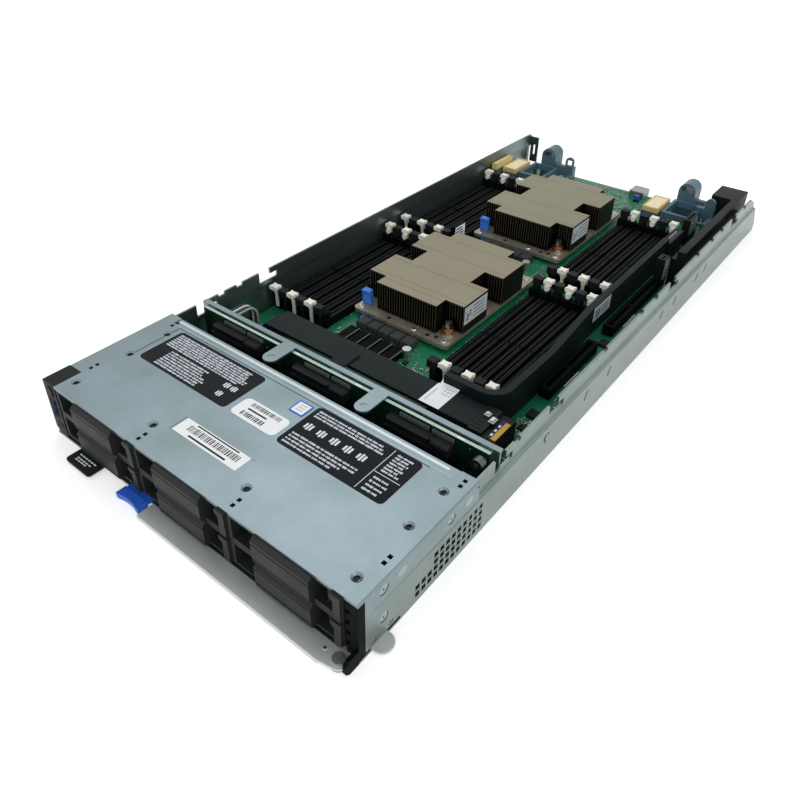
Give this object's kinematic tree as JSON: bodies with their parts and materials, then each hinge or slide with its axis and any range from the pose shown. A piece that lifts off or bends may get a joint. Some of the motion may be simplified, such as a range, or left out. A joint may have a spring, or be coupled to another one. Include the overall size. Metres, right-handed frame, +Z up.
{
  "type": "blade server sled",
  "caption": "Half-height blade server sled with its top cover off: drive blanks, release lever, memory sockets, two heat sinks and rear mezzanine connectors in a sheet-metal tray.",
  "frame": {"origin": "centre of the underside of the tray, on the surface the sled rests on", "axes": "+X to the right seen from the front, +Y from the front panel to the rear connectors, +Z up"},
  "size_m": [0.2581, 0.594, 0.0421],
  "materials": {
    "black_plastic": "moulded black plastic, fine matt grain",
    "blue_plastic": "moulded blue touch-point plastic",
    "board_laminate": "green circuit board laminate under clear resist",
    "bright_steel": "bright plated steel",
    "cable_sleeve": "matt black cable sleeve",
    "cage_sheet": "plain zinc-plated sheet steel",
    "can_aluminium": "drawn aluminium capacitor can",
    "cream_plastic": "moulded cream connector plastic",
    "ferrite": "pressed ferrite",
    "nickel_base": "machined nickel-plated plate",
    "nickel_fins": "nickel-plated aluminium fins",
    "pale_plastic": "moulded off-white plastic",
    "slate_plastic": "moulded slate-blue plastic",
    "wire_sleeve": "soft wire insulation",
    "zinc_sheet": "zinc-plated sheet steel with a faint spangle"
  },
  "bodies": {
    "sled": {"backplane_board": "board_laminate", "backplane_rail": "zinc_sheet", "backplane_thumbscrew": "bright_steel", "board_chips": "black_plastic", "board_standoffs": "bright_steel", "capacitors": "can_aluminium", "card_slots": "black_plastic", "chassis_tray": "zinc_sheet", "chokes": "ferrite", "connector_blocks": "black_plastic", "control_panel_housing": "black_plastic", "corner_bracket": "black_plastic", "drive_cage": "cage_sheet", "drive_connectors": "black_plastic", "drive_cover": "zinc_sheet", "front_port": "bright_steel", "guide_frame_left": "slate_plastic", "guide_frame_right": "slate_plastic", "heat_sink_base_front": "nickel_base", "heat_sink_base_rear": "nickel_base", "heat_sink_fins_front": "nickel_fins", "heat_sink_fins_rear": "nickel_fins", "heat_sink_posts": "bright_steel", "lever_pivot": "bright_steel", "memory_sockets_front": "black_plastic", "memory_sockets_rear": "black_plastic", "mezzanine_connectors": "cream_plastic", "panel_wires": "wire_sleeve", "processor_sockets": "black_plastic", "rear_port": "bright_steel", "rear_shroud": "black_plastic", "ribbon_cable": "cable_sleeve", "ribbon_plug": "black_plastic", "side_cable": "cable_sleeve", "side_cable_plug": "black_plastic", "side_screws": "bright_steel", "system_board": "board_laminate", "wire_plugs": "pale_plastic"},
    "blank_lower_1": {"drive_blank_lower_1": "black_plastic"},
    "blank_lower_2": {"drive_blank_lower_2": "black_plastic"},
    "blank_lower_3": {"drive_blank_lower_3": "black_plastic"},
    "blank_upper_1": {"drive_blank_upper_1": "black_plastic"},
    "blank_upper_2": {"drive_blank_upper_2": "black_plastic"},
    "blank_upper_3": {"drive_blank_upper_3": "black_plastic"},
    "tag": {"info_tag": "black_plastic"},
    "lever_button": {"release_button": "blue_plastic"},
    "power": {"power_button": "black_plastic"},
    "lever": {"release_lever": "bright_steel"},
    "pale_front_near": {"pale_latches_front_near": "pale_plastic"},
    "dark_front_near": {"dark_latches_front_near": "black_plastic"},
    "pale_front_far": {"pale_latches_front_far": "pale_plastic"},
    "dark_front_far": {"dark_latches_front_far": "black_plastic"},
    "pale_rear_near": {"pale_latches_rear_near": "pale_plastic"},
    "dark_rear_near": {"dark_latches_rear_near": "black_plastic"},
    "pale_rear_far": {"pale_latches_rear_far": "pale_plastic"},
    "dark_rear_far": {"dark_latches_rear_far": "black_plastic"},
    "clip_front": {"heat_sink_clip_front": "blue_plastic"},
    "clip_rear": {"heat_sink_clip_rear": "blue_plastic"}
  },
  "joints": [
    {"name": "blank_lower_1_slide", "type": "slide", "parent": "sled", "child": "blank_lower_1", "axis": [0, -1, 0], "range_m": [0, 0.1]},
    {"name": "blank_lower_2_slide", "type": "slide", "parent": "sled", "child": "blank_lower_2", "axis": [0, -1, 0], "range_m": [0, 0.1]},
    {"name": "blank_lower_3_slide", "type": "slide", "parent": "sled", "child": "blank_lower_3", "axis": [0, -1, 0], "range_m": [0, 0.1]},
    {"name": "blank_upper_1_slide", "type": "slide", "parent": "sled", "child": "blank_upper_1", "axis": [0, -1, 0], "range_m": [0, 0.1]},
    {"name": "blank_upper_2_slide", "type": "slide", "parent": "sled", "child": "blank_upper_2", "axis": [0, -1, 0], "range_m": [0, 0.1]},
    {"name": "blank_upper_3_slide", "type": "slide", "parent": "sled", "child": "blank_upper_3", "axis": [0, -1, 0], "range_m": [0, 0.1]},
    {"name": "tag_slide", "type": "slide", "parent": "sled", "child": "tag", "axis": [0, -1, 0], "range_m": [0, 0.055]},
    {"name": "lever_button_slide", "type": "slide", "parent": "sled", "child": "lever_button", "axis": [0, 1, 0], "range_m": [0, 0.0025], "stiffness_N_per_m": 400},
    {"name": "power_slide", "type": "slide", "parent": "sled", "child": "power", "axis": [0, 1, 0], "range_m": [0, 0.0012], "stiffness_N_per_m": 300},
    {"name": "lever_hinge", "type": "hinge", "parent": "sled", "child": "lever", "pos_m": [0.1175, -0.2965, 0.00255], "axis": [0, 0, 1], "range_deg": [0, 60]},
    {"name": "pale_front_near_hinge", "type": "hinge", "parent": "sled", "child": "pale_front_near", "pos_m": [0, -0.1063, 0.0102], "axis": [1, 0, 0], "range_deg": [0, 18.5]},
    {"name": "dark_front_near_hinge", "type": "hinge", "parent": "sled", "child": "dark_front_near", "pos_m": [0, -0.1063, 0.0102], "axis": [1, 0, 0], "range_deg": [0, 18.5]},
    {"name": "pale_front_far_hinge", "type": "hinge", "parent": "sled", "child": "pale_front_far", "pos_m": [0, 0.0307, 0.0102], "axis": [-1, 0, 0], "range_deg": [0, 18.5]},
    {"name": "dark_front_far_hinge", "type": "hinge", "parent": "sled", "child": "dark_front_far", "pos_m": [0, 0.0307, 0.0102], "axis": [-1, 0, 0], "range_deg": [0, 18.5]},
    {"name": "pale_rear_near_hinge", "type": "hinge", "parent": "sled", "child": "pale_rear_near", "pos_m": [0, 0.057, 0.0102], "axis": [1, 0, 0], "range_deg": [0, 18.5]},
    {"name": "dark_rear_near_hinge", "type": "hinge", "parent": "sled", "child": "dark_rear_near", "pos_m": [0, 0.057, 0.0102], "axis": [1, 0, 0], "range_deg": [0, 18.5]},
    {"name": "pale_rear_far_hinge", "type": "hinge", "parent": "sled", "child": "pale_rear_far", "pos_m": [0, 0.194, 0.0102], "axis": [-1, 0, 0], "range_deg": [0, 18.5]},
    {"name": "dark_rear_far_hinge", "type": "hinge", "parent": "sled", "child": "dark_rear_far", "pos_m": [0, 0.194, 0.0102], "axis": [-1, 0, 0], "range_deg": [0, 18.5]},
    {"name": "clip_front_hinge", "type": "hinge", "parent": "sled", "child": "clip_front", "pos_m": [-0.061, -0.0662, 0.0133], "axis": [1, 0, 0], "range_deg": [0, 35]},
    {"name": "clip_rear_hinge", "type": "hinge", "parent": "sled", "child": "clip_rear", "pos_m": [-0.061, 0.1, 0.0133], "axis": [1, 0, 0], "range_deg": [0, 35]}
  ]
}
